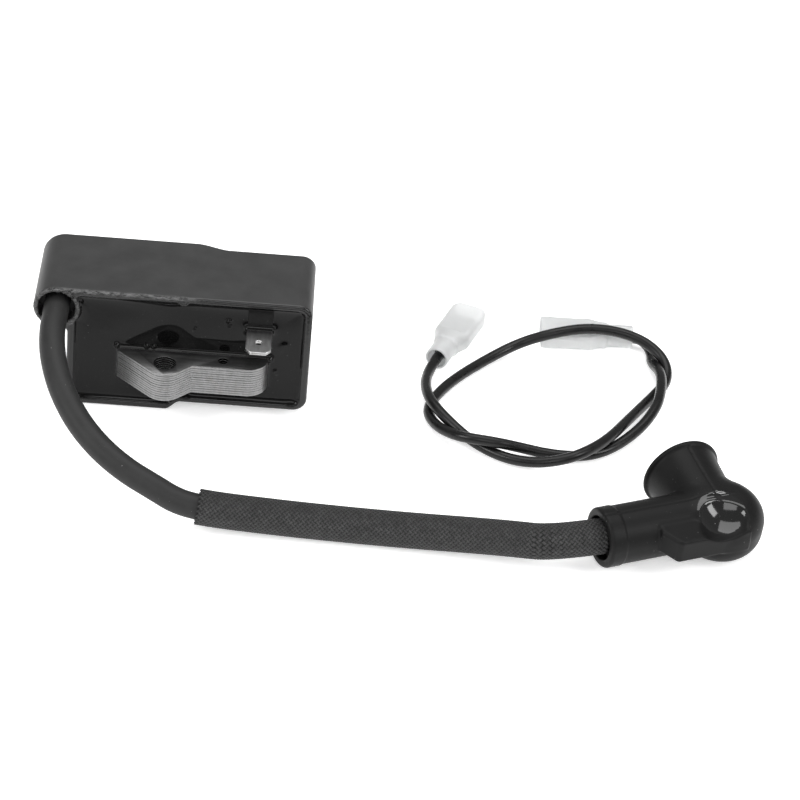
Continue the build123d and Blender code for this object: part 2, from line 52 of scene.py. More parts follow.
# ---- places taken from the frame ---------------------------------------------------------
def box_mm(node):
    low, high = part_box(node)
    return low / MM, high / MM


CASE_LOW, CASE_HIGH = box_mm("case_shell")
CASE_WIDTH = 60.0
WALL = 1.8
CORNER_R = 3.6
RIM_Y = CASE_LOW.y
BACK_Y = CASE_HIGH.y
BACK_STEP = 2.1
RIGHT = CASE_HIGH.x
LEFT = RIGHT - CASE_WIDTH
MIDDLE = (LEFT + RIGHT) / 2
TOP = CASE_HIGH.z
FOOT_STEP = 2.5
FOOT_RAMP = (MIDDLE - 5.2, MIDDLE - 1.5)        # where the steps start and end, along x
BACK_RAMP = (MIDDLE, MIDDLE + 8.4)
TOWER_R = 5.75
TOWER_BORE = 4.6
TOWER_X = CASE_LOW.x + TOWER_R
TOWER_Z = TOP - TOWER_R
RESIN_Y = RIM_Y + 1.2
CORE_LOW, CORE_HIGH = box_mm("core_stack")
SHEETS = 12
SHEET = (CORE_HIGH.z - CORE_LOW.z) / SHEETS
TAB_LOW, TAB_HIGH = box_mm("spade_tab")
EXIT = Vector((TOWER_X, RIM_Y, TOWER_Z))
BOLT_AT = (MIDDLE - 5.4, RIM_Y - 4.7)           # holes in the core, x and y
LOCATING_AT = (MIDDLE + 8.8, RIM_Y - 1.9)


# ---- small helpers -----------------------------------------------------------------------
def link(name, data):
    piece = bpy.data.objects.new(name, data)
    bpy.context.scene.collection.objects.link(piece)
    return piece


def mesh_piece(name, points, faces):
    """A smooth mesh object from an array of points in millimetres."""
    mesh = bpy.data.meshes.new(name)
    mesh.from_pydata(points * MM, [], faces)
    mesh.validate()
    mesh.shade_smooth()
    return link(name, mesh)


def final_mesh(piece):
    """The mesh that a curve, or an object with modifiers, works out to."""
    bpy.context.view_layer.update()
    return bpy.data.meshes.new_from_object(piece.evaluated_get(
        bpy.context.evaluated_depsgraph_get()))


def sharpen(piece, angle):
    """Smooth shading, with edges kept sharp where faces turn by more than the angle."""
    piece.data.shade_smooth()
    piece.data.set_sharp_from_angle(angle=radians(angle))
    return piece


def dress(piece, material, body, slot, *nodes):
    """Gives a piece its material and its body, and hides the CAD nodes it replaces; the slot is
    not used.
    """
    piece.data.materials.clear()
    piece.data.materials.append(material)
    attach(piece, body)
    if nodes:
        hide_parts(*nodes)
    return piece


def smoothstep(low, high, value):
    """0 at low, 1 at high, smooth between; low may be the larger of the two."""
    t = np.clip((value - low) / (high - low), 0, 1)
    return t * t * (3 - 2 * t)


def rgba(value):
    """A grey value or a colour, with full opacity."""
    return (*value, 1) if hasattr(value, "__len__") else (value, value, value, 1)


def wander(x, y, z, size, seed=0):
    """Smooth noise from -1 to 1 at a point, with lumps of the given size."""
    return noise.noise(Vector((x / size + SEED_STEP * seed, y / size, z / size)))


# ---- materials ---------------------------------------------------------------------------
class Nodes:
    """A material with a Principled shader and short calls for the nodes that feed it."""

    def __init__(self, name, **inputs):
        self.material = bpy.data.materials.new(name)
        self.material.use_nodes = True
        self.tree = self.material.node_tree
        self.shader = self.tree.nodes["Principled BSDF"]
        for key, value in inputs.items():
            self.shader.inputs[key.replace("_", " ")].default_value = value
        self.place = self.tree.nodes.new("ShaderNodeTexCoord").outputs["Object"]

    def add(self, kind, links=(), **settings):
        """A new node; a setting is one of its properties or the value of one of its inputs."""
        node = self.tree.nodes.new("ShaderNode" + kind)
        for key, value in settings.items():
            if hasattr(node, key):
                setattr(node, key, value)
            else:
                node.inputs[key.replace("_", " ")].default_value = value
        for key, source in dict(links).items():
            self.tree.links.new(source, node.inputs[key])
        return node

    def feed(self, socket, value):
        """Links a socket to another, or sets its number, grey value or colour."""
        if hasattr(value, "links"):
            self.tree.links.new(value, socket)
        else:
            socket.default_value = rgba(value) if socket.type == "RGBA" else value

    def noise(self, size_mm, detail=4.0, rough=0.6, stretch=(1, 1, 1)):
        scaled = self.add("Mapping", {"Vector": self.place}, Scale=stretch).outputs[0]
        return self.add("TexNoise", {"Vector": scaled}, Scale=1 / (size_mm * MM), Detail=detail,
                        Roughness=rough).outputs["Fac"]

    def ramp(self, source, low, high):
        """0 where the source is low or less, 1 where it is high or more."""
        node = self.add("ValToRGB", {"Fac": source})
        start, end = node.color_ramp.elements
        start.position, start.color = low, rgba(0)
        end.position, end.color = high, rgba(1)
        return node.outputs["Color"]

    def mix(self, factor, a, b, blend="MIX"):
        """Mixes two colours; each is a socket or a grey value or a colour."""
        node = self.add("Mix", data_type="RGBA", blend_type=blend)
        for index, value in ((0, factor), (6, a), (7, b)):
            self.feed(node.inputs[index], value)
        return node.outputs[2]

    def maths(self, operation, a, b=0.0, clamp=False):
        node = self.add("Math", operation=operation, use_clamp=clamp)
        self.feed(node.inputs[0], a)
        self.feed(node.inputs[1], b)
        return node.outputs[0]

    def times(self, a, b):
        return self.maths("MULTIPLY", a, b)

    def flip(self, value):
        return self.maths("SUBTRACT", 1.0, value)

    def axis(self, name, source=None):
        return self.add("SeparateXYZ", {0: source or self.place}).outputs[name]

    def band(self, value, low, high):
        """0 below low, 1 above high, both in millimetres."""
        return self.add("MapRange", {"Value": value}, interpolation_type="SMOOTHSTEP",
                        From_Min=low * MM, From_Max=high * MM).outputs["Result"]

    def away(self, first, u, second, v):
        """Distance from a line through (u, v) in millimetres, along the third axis."""
        du = self.maths("SUBTRACT", self.axis(first), u * MM)
        dv = self.maths("SUBTRACT", self.axis(second), v * MM)
        squares = self.times(du, du), self.times(dv, dv)
        return self.maths("SQRT", self.maths("ADD", *squares))

    def colour(self, source):
        self.tree.links.new(source, self.shader.inputs["Base Color"])

    def rough(self, source):
        self.tree.links.new(source, self.shader.inputs["Roughness"])

    def bump(self, source, depth_mm):
        node = self.add("Bump", {"Height": source}, Strength=1.0, Distance=depth_mm * MM)
        self.tree.links.new(node.outputs[0], self.shader.inputs["Normal"])


def case_plastic():
    """Dark moulded nylon, satin; its front is wet with resin, its top edge scuffed light."""
    n = Nodes("case_plastic", Specular_IOR_Level=0.35)
    clouds = n.noise(7, 5)
    grain = n.noise(0.5, 3, 0.7)
    base = n.mix(n.ramp(clouds, 0.35, 0.7), 0.022, 0.031)
    front = n.flip(n.band(n.axis("Y"), RIM_Y + 0.1, RIM_Y + 1.0))
    top_edge = n.times(n.band(n.axis("Z"), TOP - 1.3, TOP - 0.3),
                       n.flip(n.band(n.axis("X"), MIDDLE - 4, MIDDLE + 4)))
    from_axis = n.away("X", TOWER_X, "Z", TOWER_Z)
    tower = n.flip(n.band(from_axis, TOWER_R - 0.3, TOWER_R + 0.4))
    scuffs = n.ramp(n.noise(0.8, 6, 0.75, (0.4, 1, 1)), 0.40, 0.58)
    wear = n.times(n.times(front, scuffs),
                   n.maths("MAXIMUM", top_edge, n.times(tower, 0.6)))
    wet = n.mix(front, base, 0.008)
    n.colour(n.mix(n.times(wear, 0.8), wet, 0.15))
    scratches = n.ramp(n.noise(1.6, 8, 0.8, (1, 0.12, 1)), 0.60, 0.66)
    worn = n.mix(n.times(scratches, 0.5), n.mix(clouds, 0.40, 0.52), 0.34)
    n.rough(n.mix(n.maths("SUBTRACT", front, wear, True), worn, 0.16))
    height = n.maths("ADD", n.times(grain, 0.35), n.times(wear, 2.0))
    n.bump(height, 0.05)
    return n.material


def resin():
    """Black potting resin, mirror-smooth, with faint clouds and settled dust."""
    n = Nodes("resin", Specular_IOR_Level=0.16)
    dust = n.ramp(n.noise(0.35, 2, 0.5), 0.735, 0.76)
    n.colour(n.mix(dust, 0.0035, 0.08))
    smear = n.ramp(n.noise(6, 6, 0.7), 0.45, 0.8)
    n.rough(n.mix(smear, 0.035, 0.11))
    n.bump(n.noise(9, 2, 0.4), 0.05)
    return n.material


# holes in the core, with painted shade inside: centre, radii between which the painted shade fades
# out, grey of the painted shade inside
PAINTED_HOLE_SHADE = ((BOLT_AT, 2.8, 2.95, 0.10), (LOCATING_AT, 1.3, 1.4, 0.04))


def core_steel():
    """Stamped sheets: grey oxide on the flat faces, bright sheared metal on the edges, painted
    shade inside the holes.
    """
    n = Nodes("core_steel", Metallic=1.0)
    normal = n.add("NewGeometry").outputs["Normal"]
    upward = n.maths("ABSOLUTE", n.axis("Z", normal))
    face = n.ramp(upward, 0.55, 0.85)
    streaks = n.noise(0.9, 5, 0.7, (1, 1, 0.25))
    bright = n.mix(n.ramp(streaks, 0.3, 0.75), 0.20, 0.29)
    rust = n.ramp(n.noise(2.5, 5), 0.55, 0.75)
    bright = n.mix(n.times(rust, 0.25), bright, (0.2, 0.17, 0.15))
    # painted shade: the steel's colour is darkened inside each hole of the core
    for (x, y), shade_to, unshaded_from, grey in PAINTED_HOLE_SHADE:
        shade = n.mix(n.band(n.away("X", x, "Y", y), shade_to, unshaded_from), grey, 1.0)
        bright = n.mix(1.0, bright, shade, "MULTIPLY")
    rolled = n.noise(1.1, 5, 0.6, (0.08, 1, 1))
    dark = n.mix(n.ramp(rolled, 0.35, 0.7), 0.21, 0.28)
    n.colour(n.mix(face, bright, dark))
    n.rough(n.mix(face, 0.42, n.mix(rolled, 0.30, 0.42)))
    n.bump(n.mix(face, streaks, rolled), 0.012)
    return n.material


def tinned():
    """Tin-plated brass: satin, with fine drawing marks and a few scratches."""
    n = Nodes("tinned", Metallic=1.0)
    lines = n.noise(0.25, 3, 0.6, (1, 0.06, 1))
    spots = n.ramp(n.noise(1.3, 5, 0.7), 0.5, 0.75)
    n.colour(n.mix(n.times(spots, 0.6), n.mix(lines, 0.40, 0.50), (0.26, 0.25, 0.23)))
    n.rough(n.mix(n.ramp(lines, 0.3, 0.7), 0.28, 0.4))
    n.bump(lines, 0.003)
    return n.material


def rubber(name, grey, rough, size=0.5, depth=0.03, specular=0.22):
    """Black rubber: fine grain, cloudy gloss, a little settled dust."""
    n = Nodes(name, Specular_IOR_Level=specular)
    clouds = n.ramp(n.noise(6, 5, 0.65), 0.35, 0.7)
    dust = n.ramp(n.noise(0.45, 2, 0.5), 0.76, 0.78)
    base = n.mix(clouds, grey, grey * 1.35)
    n.colour(n.mix(dust, base, 0.20))
    n.rough(n.mix(clouds, rough, rough + 0.09))
    n.bump(n.noise(size, 4, 0.65), depth)
    return n.material


def sleeve_yarn():
    """Black multifilament yarn: fine lines along each strand, and painted shade where it dives
    under the others.
    """
    n = Nodes("sleeve_yarn", Specular_IOR_Level=0.22)
    place = n.add("UVMap").outputs[0]
    filaments = n.maths("SINE", n.times(n.axis("X", place), 2 * pi * 4))
    tint = n.noise(1.2, 3, 0.6)
    crest = n.mix(n.ramp(tint, 0.3, 0.75), 0.030, 0.075)
    # painted shade: near black where the strand dives under, its own colour on the crests
    n.colour(n.mix(n.ramp(n.axis("Y", place), 0.55, 1.0), 0.002, crest))
    n.rough(n.mix(tint, 0.40, 0.55))
    n.bump(filaments, 0.03)
    return n.material


def wire_jacket():
    """Black PVC of the thin wire: glossy in patches, slightly uneven."""
    n = Nodes("wire_jacket", Specular_IOR_Level=0.24)
    clouds = n.noise(4, 4, 0.6)
    n.colour(n.mix(clouds, 0.004, 0.007))
    n.rough(n.mix(n.ramp(clouds, 0.35, 0.7), 0.24, 0.38))
    n.bump(n.noise(1.4, 3, 0.6), 0.03)
    return n.material


def cover_pvc():
    """Milky translucent soft PVC."""
    n = Nodes("cover_pvc", IOR=1.45, Transmission_Weight=0.45, Subsurface_Weight=0.35,
              Subsurface_Radius=(0.002, 0.002, 0.002), Subsurface_Scale=1.0)
    clouds = n.noise(3, 4, 0.6)
    n.colour(n.mix(clouds, (0.74, 0.75, 0.75), (0.84, 0.85, 0.85)))
    n.rough(n.mix(clouds, 0.28, 0.42))
    n.bump(n.noise(1.6, 3, 0.6), 0.05)
    return n.material


def plain(name, low, high, rough, metallic=0.0, size=1.5, depth=0.02):
    """Two close colours in soft clouds, for pieces that are mostly hidden."""
    n = Nodes(name, Metallic=metallic)
    clouds = n.noise(size, 4, 0.6)
    n.colour(n.mix(clouds, low, high))
    n.rough(n.mix(clouds, rough, rough + 0.12))
    n.bump(clouds, depth)
    return n.material


def copper_wire():
    """Fine enamelled wire laid side by side: ridges along the bobbin."""
    n = Nodes("copper_wire", Metallic=1.0)
    turns = n.maths("SINE", n.times(n.axis("Y"), 2 * pi / (0.3 * MM)))
    tint = n.noise(2, 3, 0.5)
    n.colour(n.mix(tint, (0.50, 0.17, 0.06), (0.72, 0.30, 0.12)))
    n.rough(n.mix(tint, 0.22, 0.34))
    n.bump(turns, 0.08)
    return n.material


# ---- camera, light and floor -------------------------------------------------------------
CAMERA_AT = Vector((29.455, -666.615, 465.54))
AZIMUTH, ELEVATION, ROLL = radians(-2.456), radians(34.978), radians(-5.633)
LENS = 144.07
SENSOR = 36.0
WORLD_GLOW = 0.42
FLOOR_GLOW = 0.45
FLOOR_HALF = 4000
LIGHTS_AIM = Vector((45, -20, 10))
# name, place, width, height, watts
LIGHTS = [("overhead", (60, 120, 700), 700, 500, 3.8),
          ("left_box", (-520, -330, 420), 260, 360, 2.4),
          ("right_box", (600, -300, 420), 200, 360, 2.1),
          ("front_box", (40, -640, 460), 500, 300, 1.6)]


def camera_axes():
    forward = Vector((-sin(AZIMUTH) * cos(ELEVATION), cos(AZIMUTH) * cos(ELEVATION),
                      -sin(ELEVATION)))
    level = forward.cross(Vector((0, 0, 1))).normalized()
    above = level.cross(forward)
    right = level * cos(ROLL) - above * sin(ROLL)
    up = above * cos(ROLL) + level * sin(ROLL)
    return right, up, forward


def add_camera():
    data = bpy.data.cameras.new("camera")
    data.lens, data.sensor_width = LENS, SENSOR
    data.clip_start, data.clip_end = 0.01, 20
    camera = link("camera", data)
    right, up, forward = camera_axes()
    turn = Matrix((right, up, -forward)).transposed().to_4x4()
    camera.matrix_world = Matrix.Translation(CAMERA_AT * MM) @ turn
    bpy.context.scene.camera = camera


def area_light(name, place, width, height, watts):
    data = bpy.data.lights.new(name, "AREA")
    data.shape = "RECTANGLE"
    data.size, data.size_y = width * MM, height * MM
    data.energy = watts
    light = link(name, data)
    light.location = Vector(place) * MM
    light.rotation_euler = (LIGHTS_AIM - Vector(place)).to_track_quat("-Z", "Y").to_euler()


def add_studio():
    scene = bpy.context.scene
    scene.view_settings.view_transform = "Standard"
    world = bpy.data.worlds.new("studio")
    scene.world = world
    world.use_nodes = True
    background = world.node_tree.nodes["Background"]
    background.inputs["Color"].default_value = rgba(1)
    background.inputs["Strength"].default_value = WORLD_GLOW
    for light in LIGHTS:
        area_light(*light)
    corners = np.array([(-1, -1, 0), (1, -1, 0), (1, 1, 0), (-1, 1, 0)]) * FLOOR_HALF
    floor = mesh_piece("floor", corners, [(0, 1, 2, 3)])
    n = Nodes("floor_white", Roughness=0.9, Specular_IOR_Level=0.0,
              Emission_Color=rgba(1), Emission_Strength=FLOOR_GLOW)
    n.colour(n.mix(n.noise(400, 2), 0.93, 0.95))
    floor.data.materials.append(n.material)


# ---- cords -------------------------------------------------------------------------------
# The lead's route from the tower's mouth: x and y from the mouth, then the share of the
# tower's height above LEAD_LOW that is left, and further on the height itself.
LEAD_LOW = 4.5
LEAD_FALL = [(-0.3, -8.5, 0.95), (0.9, -17.0, 0.85), (3.9, -24.9, 0.705), (8.6, -32.0, 0.545),
             (14.6, -37.9, 0.41), (21.2, -42.2, 0.30), (27.5, -44.8, 0.215)]
LEAD_FLOOR = [(34.4, -47.1, 6.8), (42.6, -47.3, 5.8), (53.0, -47.4, 5.2), (66.0, -47.5, 4.6),
              (86.8, -48.2, 4.5), (110.5, -50.4, 6.1)]
BOOT_FACE = (133.9, -50.8, 8.3)     # where the lead enters the boot; x and y from the mouth
BOOT_HEADING = 23.0
BOOT_RUN = 9.0
LEAD_R = 3.15
LEAD_IN_TOWER = 13.0
LEAD_IN_BOOT = 21.5
SLEEVE_FROM = 9      # the sleeve starts halfway from this route point to the next
SLEEVE_R = 4.375
ALONG = Vector((cos(radians(BOOT_HEADING)), sin(radians(BOOT_HEADING)), 0))
FACE = Vector((EXIT.x + BOOT_FACE[0], EXIT.y + BOOT_FACE[1], BOOT_FACE[2]))

WIRE_R = 1.35
COVER_NECK_R = 3.0
COVER_NECK = 7.2
WIRE_STRAIGHT = 1.4
JACKET_END = -1.0
# the kill lead's two ends: x, y, heading; then the wire's route between them
KILL_A = (69.5, 20.25, 68.7)
KILL_B = (111.0, 30.2, 182.0)
KILL_ROUTE = [
    (64.7, 7.0, 2.7), (64.0, 0.3, 3.6), (65.3, -7.9, 4.7), (69.8, -14.4, 3.7),
    (76.2, -19.9, 1.5), (83.8, -25.4, 1.4), (91.0, -28.0, 2.3), (97.6, -28.5, 4.0),
    (103.4, -25.8, 4.8), (109.7, -19.2, 4.7), (116.2, -6.4, 3.0), (122.7, 6.0, 1.4),
    (126.9, 12.9, 1.6), (126.5, 19.3, 3.6), (121.8, 23.9, 5.8), (114.7, 26.1, 7.2),
    (105.8, 25.8, 7.9), (96.9, 23.5, 7.0), (88.3, 23.5, 3.1), (79.4, 16.6, 1.4),
    (71.5, 7.1, 1.4), (67.0, -0.6, 1.4), (64.6, -7.4, 1.5), (66.6, -14.4, 2.0),
    (71.4, -20.4, 3.6), (76.2, -22.9, 4.7), (80.9, -23.4, 4.6), (86.9, -22.6, 3.1),
    (95.3, -22.7, 1.5), (103.4, -22.6, 1.4), (110.8, -18.9, 1.5), (118.1, -11.7, 3.0),
    (122.7, -3.9, 4.7), (124.4, 4.2, 5.0), (124.8, 12.6, 4.7), (123.0, 20.2, 2.1),
    (123.3, 24.6, 1.6), (122.4, 28.2, 2.1)]


def lead_points():
    points = [EXIT + Vector((0, LEAD_IN_TOWER, 0)), EXIT]
    for x, y, share in LEAD_FALL:
        points.append(Vector((EXIT.x + x, EXIT.y + y, LEAD_LOW + share * (EXIT.z - LEAD_LOW))))
    for x, y, z in LEAD_FLOOR:
        points.append(Vector((EXIT.x + x, EXIT.y + y, z)))
    return points + [FACE - BOOT_RUN * ALONG, FACE + LEAD_IN_BOOT * ALONG]


def terminal_place(end):
    x, y, heading = end
    return Matrix.Translation((x, y, COVER_NECK_R)) @ Matrix.Rotation(radians(heading), 4, "Z")


def kill_points():
    ends = []
    for end in (KILL_A, KILL_B):
        place = terminal_place(end)
        ends.append([place @ Vector((x, 0, 0)) for x in (JACKET_END, -COVER_NECK - WIRE_STRAIGHT)])
    return ends[0] + [Vector(p) for p in KILL_ROUTE] + ends[1][::-1]


def cord_curve(name, points, radius):
    curve = bpy.data.curves.new(name, "CURVE")
    curve.dimensions = "3D"
    spline = curve.splines.new("NURBS")
    spline.points.add(len(points) - 1)
    for point, where in zip(spline.points, points):
        point.co = (*(Vector(where) * MM), 1)
    spline.order_u = 3
    spline.use_endpoint_u = True
    spline.resolution_u = 12
    curve.bevel_depth = radius * MM
    curve.bevel_resolution = 8
    curve.use_fill_caps = True
    return link(name, curve)


def line_of(points):
    """Points close together along a route's smooth line, in millimetres."""
    bare = cord_curve("line", points, 0)
    line = np.array([v.co for v in final_mesh(bare).vertices]) / MM
    bpy.data.objects.remove(bare)
    return line


def add_cords():
    lead = cord_curve("high_tension_lead", lead_points(), LEAD_R)
    dress(lead, rubber("lead_rubber", 0.016, 0.50, 0.35, 0.02), "module", "lead_rubber",
          "ht_lead", "ht_conductor")
    wire = cord_curve("kill_lead_wire", kill_points(), WIRE_R)
    dress(wire, wire_jacket(), "kill_lead", "wire_jacket", "kill_wire", "kill_conductor")
    return lead, wire


# ---- shapes from distance fields ---------------------------------------------------------
def union_round(a, b, radius):
    """Both shapes, with a fillet between them."""
    bend = np.hypot(np.maximum(radius - a, 0), np.maximum(radius - b, 0))
    return np.maximum(radius, np.minimum(a, b)) - bend


def common_round(a, b, radius):
    """What two shapes share, with its edge rounded."""
    bend = np.hypot(np.maximum(radius + a, 0), np.maximum(radius + b, 0))
    return np.minimum(-radius, np.maximum(a, b)) + bend


def cut_round(a, b, radius):
    """The first shape without the second, with its edge rounded."""
    return common_round(a, -b, radius)


def rounded_box(dx, dy, half_x, half_y, radius):
    """A rectangle with round corners, from its middle."""
    u = np.abs(dx) - half_x + radius
    v = np.abs(dy) - half_y + radius
    return np.minimum(np.maximum(u, v), 0) + np.hypot(np.maximum(u, 0), np.maximum(v, 0)) - radius


def surface_of(field, low, high, step):
    """Points and quads of the closed surface where field(x, y, z) is zero."""
    axes = [np.arange(a, b + step, step) for a, b in zip(low, high)]
    value = field(*np.meshgrid(*axes, indexing="ij"))
    cells = tuple(n - 1 for n in value.shape)
    total, count, edges = np.zeros(cells + (3,)), np.zeros(cells), []
    for axis in range(3):
        u, v = (axis + 1) % 3, (axis + 2) % 3
        near, far = [slice(None)] * 3, [slice(None)] * 3
        near[axis], far[axis] = slice(None, -1), slice(1, None)
        a, b = value[tuple(near)], value[tuple(far)]
        crossed = (a < 0) != (b < 0)
        share = np.where(crossed, a / np.where(crossed, a - b, 1), 0)
        for du in (0, 1):
            for dv in (0, 1):
                pick = [slice(None)] * 3
                pick[u], pick[v] = slice(du, cells[u] + du), slice(dv, cells[v] + dv)
                hit = crossed[tuple(pick)]
                count += hit
                total[..., axis] += share[tuple(pick)]
                total[..., u] += du * hit
                total[..., v] += dv * hit
        inner = [slice(None)] * 3
        inner[u] = inner[v] = slice(1, -1)
        places = np.argwhere(crossed[tuple(inner)])
        places[:, u] += 1
        places[:, v] += 1
        edges.append((u, v, places, a[tuple(places.T)] < 0))
    used = count > 0
    index = np.full(cells, -1)
    index[used] = np.arange(used.sum())
    points = (np.argwhere(used) + total[used] / count[used][:, None]) * step + np.array(low)
    faces = []
    for u, v, places, outward in edges:
        corners = []
        for du, dv in ((1, 1), (0, 1), (0, 0), (1, 0)):
            cell = places.copy()
            cell[:, u] -= du
            cell[:, v] -= dv
            corners.append(index[tuple(cell.T)])
        quads = np.stack(corners, 1)
        quads[~outward] = quads[~outward][:, ::-1]
        faces.append(quads)
    return settle(field, points, step), np.concatenate(faces)


def slope_of(field, points, reach=0.02):
    """How a field rises along x, y and z at each point."""
    shifts = np.eye(3) * reach
    return np.stack([(field(*(points + d).T) - field(*(points - d).T)) / (2 * reach)
                     for d in shifts], 1)


def settle(field, points, step):
    """Moves points onto the surface."""
    for _ in range(3):
        slope = slope_of(field, points)
        move = field(*points.T)[:, None] * slope / np.maximum((slope ** 2).sum(1), 0.1)[:, None]
        points = points - np.clip(move, -step / 2, step / 2)
    return points


def field_piece(name, field, low, high, step, place=None, roughen=None):
    """A smooth mesh of a distance field; roughen gives a height for each point and normal."""
    points, faces = surface_of(field, low, high, step)
    if roughen:
        slope = slope_of(field, points)
        normal = slope / np.maximum(np.linalg.norm(slope, axis=1), 1e-6)[:, None]
        points = points + normal * roughen(points)[:, None]
    piece = mesh_piece(name, points, faces)
    if place is not None:
        piece.data.transform(Matrix.Translation(place.translation * MM) @ place.to_3x3().to_4x4())
    return piece


# ---- case --------------------------------------------------------------------------------
RIM_ROUND = 0.75
BACK_ROUND = 1.2
TRAY_ROUND = 1.0
TRAY_EDGE = 0.45
TOWER_FILLET = 2.0
BORE_DEPTH = 21.0
BORE_EDGE = 0.35
CHIP_X = MIDDLE - 1.7
CHIP_R = 0.75
CHIP_FILLET = 0.5
WEAR_DEPTH = 1.4     # how far back from the rim it is worn
CASE_STEP = 0.32


def foot(x):
    """Height of the foot's step above the floor."""
    return FOOT_STEP * smoothstep(*FOOT_RAMP, x)


def back(x):
    """Where the back lies along y."""
    return BACK_Y - BACK_STEP * smoothstep(*BACK_RAMP, x)


def case_outline(x, z, inset):
    """Distance from the outline seen from the front, without the tower."""
    rise = (z - foot(x)) * TOP / (TOP - foot(x))
    return rounded_box(x - MIDDLE, rise - TOP / 2, CASE_WIDTH / 2 - inset, TOP / 2 - inset,
                       CORNER_R - inset)


def case_field(x, y, z):
    """The tray with its tower, a small burr under its lip, and the tower's bore."""
    from_axis = np.hypot(x - TOWER_X, z - TOWER_Z)
    tower = from_axis - TOWER_R
    fillet = TOWER_FILLET * smoothstep(TOWER_Z + 1, TOWER_Z - 4, z) + 0.01
    outline = union_round(case_outline(x, z, 0), tower, fillet)
    infill = np.maximum(np.maximum(TOWER_X - x, x - LEFT - CORNER_R - 1),
                        np.maximum(TOWER_Z - z, z - TOP))
    outline = np.minimum(outline, infill)
    solid = common_round(common_round(outline, RIM_Y - y, RIM_ROUND), y - back(x), BACK_ROUND)
    tray = np.maximum(case_outline(x, z, WALL), -tower)
    shell = cut_round(solid, common_round(tray, y - back(x) + WALL, TRAY_ROUND), TRAY_EDGE)
    chip = np.sqrt(0.3 * (x - CHIP_X) ** 2 + (y - RIM_Y - 0.5) ** 2 + (z - TOP + 1.9) ** 2)
    shell = union_round(shell, chip - CHIP_R, CHIP_FILLET)
    bore = np.maximum(from_axis - TOWER_BORE, y - RIM_Y - BORE_DEPTH)
    return cut_round(shell, bore, BORE_EDGE)


def rim_wear(points):
    """Chips and burrs along the rim, most along the top edge and round the tower."""
    height = np.zeros(len(points))
    for i in np.flatnonzero(points[:, 1] < RIM_Y + WEAR_DEPTH):
        x, y, z = points[i]
        from_axis = sqrt((x - TOWER_X) ** 2 + (z - TOWER_Z) ** 2)
        at_tower = smoothstep(TOWER_R + 0.6, TOWER_R - 0.2, from_axis)
        at_top = smoothstep(TOP - 2.5, TOP - 0.8, z) * smoothstep(MIDDLE + 12, MIDDLE - 6, x)
        much = 0.25 + 0.75 * max(at_tower, at_top)
        fade = smoothstep(RIM_Y + WEAR_DEPTH, RIM_Y + 0.3, y)
        lumps = wander(x, y, z, 0.9, 1) + 0.6 * wander(x, y, z, 0.45, 2)
        height[i] = (0.09 + 0.12 * at_tower) * much * fade * lumps
    return height


def add_case():
    case = field_piece("case", case_field, (TOWER_X - TOWER_R - 1, RIM_Y - 1, -1),
                       (RIGHT + 1, BACK_Y + 1, TOP + 1), CASE_STEP, roughen=rim_wear)
    dress(case, case_plastic(), "module", "case_plastic", "case_shell")


# ---- resin -------------------------------------------------------------------------------
CORE_RIGHT = MIDDLE + 19.9                  # where the core's front ends above the resin
RESIN_GRID = (330, 190)
RESIN_INSET = 1.2                           # the fill's edge lies this far inside the case
RESIN_WAVES = (0.02, 16)                    # height and size
# resin that creeps up the walls, the core and the tab: height and reach of each layer
WALL_CREEP = ((0.55, 0.5), (0.50, 1.5))
CORE_CREEP = ((0.55, 0.40), (0.16, 1.8))
TAB_CREEP = ((0.75, 0.40), (0.18, 1.3))
CREEP_LIMIT = 1.35
# low mounds of resin: x, z, height, radius
DROPS = [(-13.6, 17.9, 0.9, 0.55), (-6.0, 18.2, 0.45, 0.5), (-4.3, 18.2, 0.4, 0.45),
         (24.6, 17.0, 0.8, 0.6), (13.6, 27.2, 0.5, 0.45), (13.9, 25.9, 0.35, 0.35),
         (26.9, 20.2, 0.14, 1.3), (27.9, 21.3, 0.12, 0.9), (25.9, 13.4, 0.3, 0.5),
         (26.3, 12.6, 0.2, 0.4), (-16.2, 21.9, 0.10, 0.9), (5.6, 24.4, 0.12, 0.35),
         (1.9, 3.9, 0.9, 0.7), (4.2, 4.0, 0.8, 0.7), (30.3, 3.4, 0.5, 0.9)]


def outside(x, z, low_x, high_x, low_z, high_z):
    """Distance outside a rectangle seen from the front."""
    dx = np.maximum(np.maximum(low_x - x, x - high_x), 0)
    dz = np.maximum(np.maximum(low_z - z, z - high_z), 0)
    return np.hypot(dx, dz)


def resin_height(x, z):
    """How far the resin stands in front of its level."""
    wall = np.minimum(-case_outline(x, z, WALL), np.hypot(x - TOWER_X, z - TOWER_Z) - TOWER_R)
    wall = np.maximum(wall, 0)
    core = outside(x, z, CORE_LOW.x, CORE_RIGHT, CORE_LOW.z, CORE_HIGH.z)
    tab = outside(x, z, TAB_LOW.x, TAB_HIGH.x, TAB_LOW.z, TAB_HIGH.z)
    creep = 0
    for distance, layers in ((wall, WALL_CREEP), (core, CORE_CREEP), (tab, TAB_CREEP)):
        for height, reach in layers:
            creep = creep + height * np.exp(-distance / reach)
    for drop_x, drop_z, height, radius in DROPS:
        creep += height * np.exp(-((x - drop_x) ** 2 + (z - drop_z) ** 2) / radius ** 2)
    return np.minimum(creep, CREEP_LIMIT)


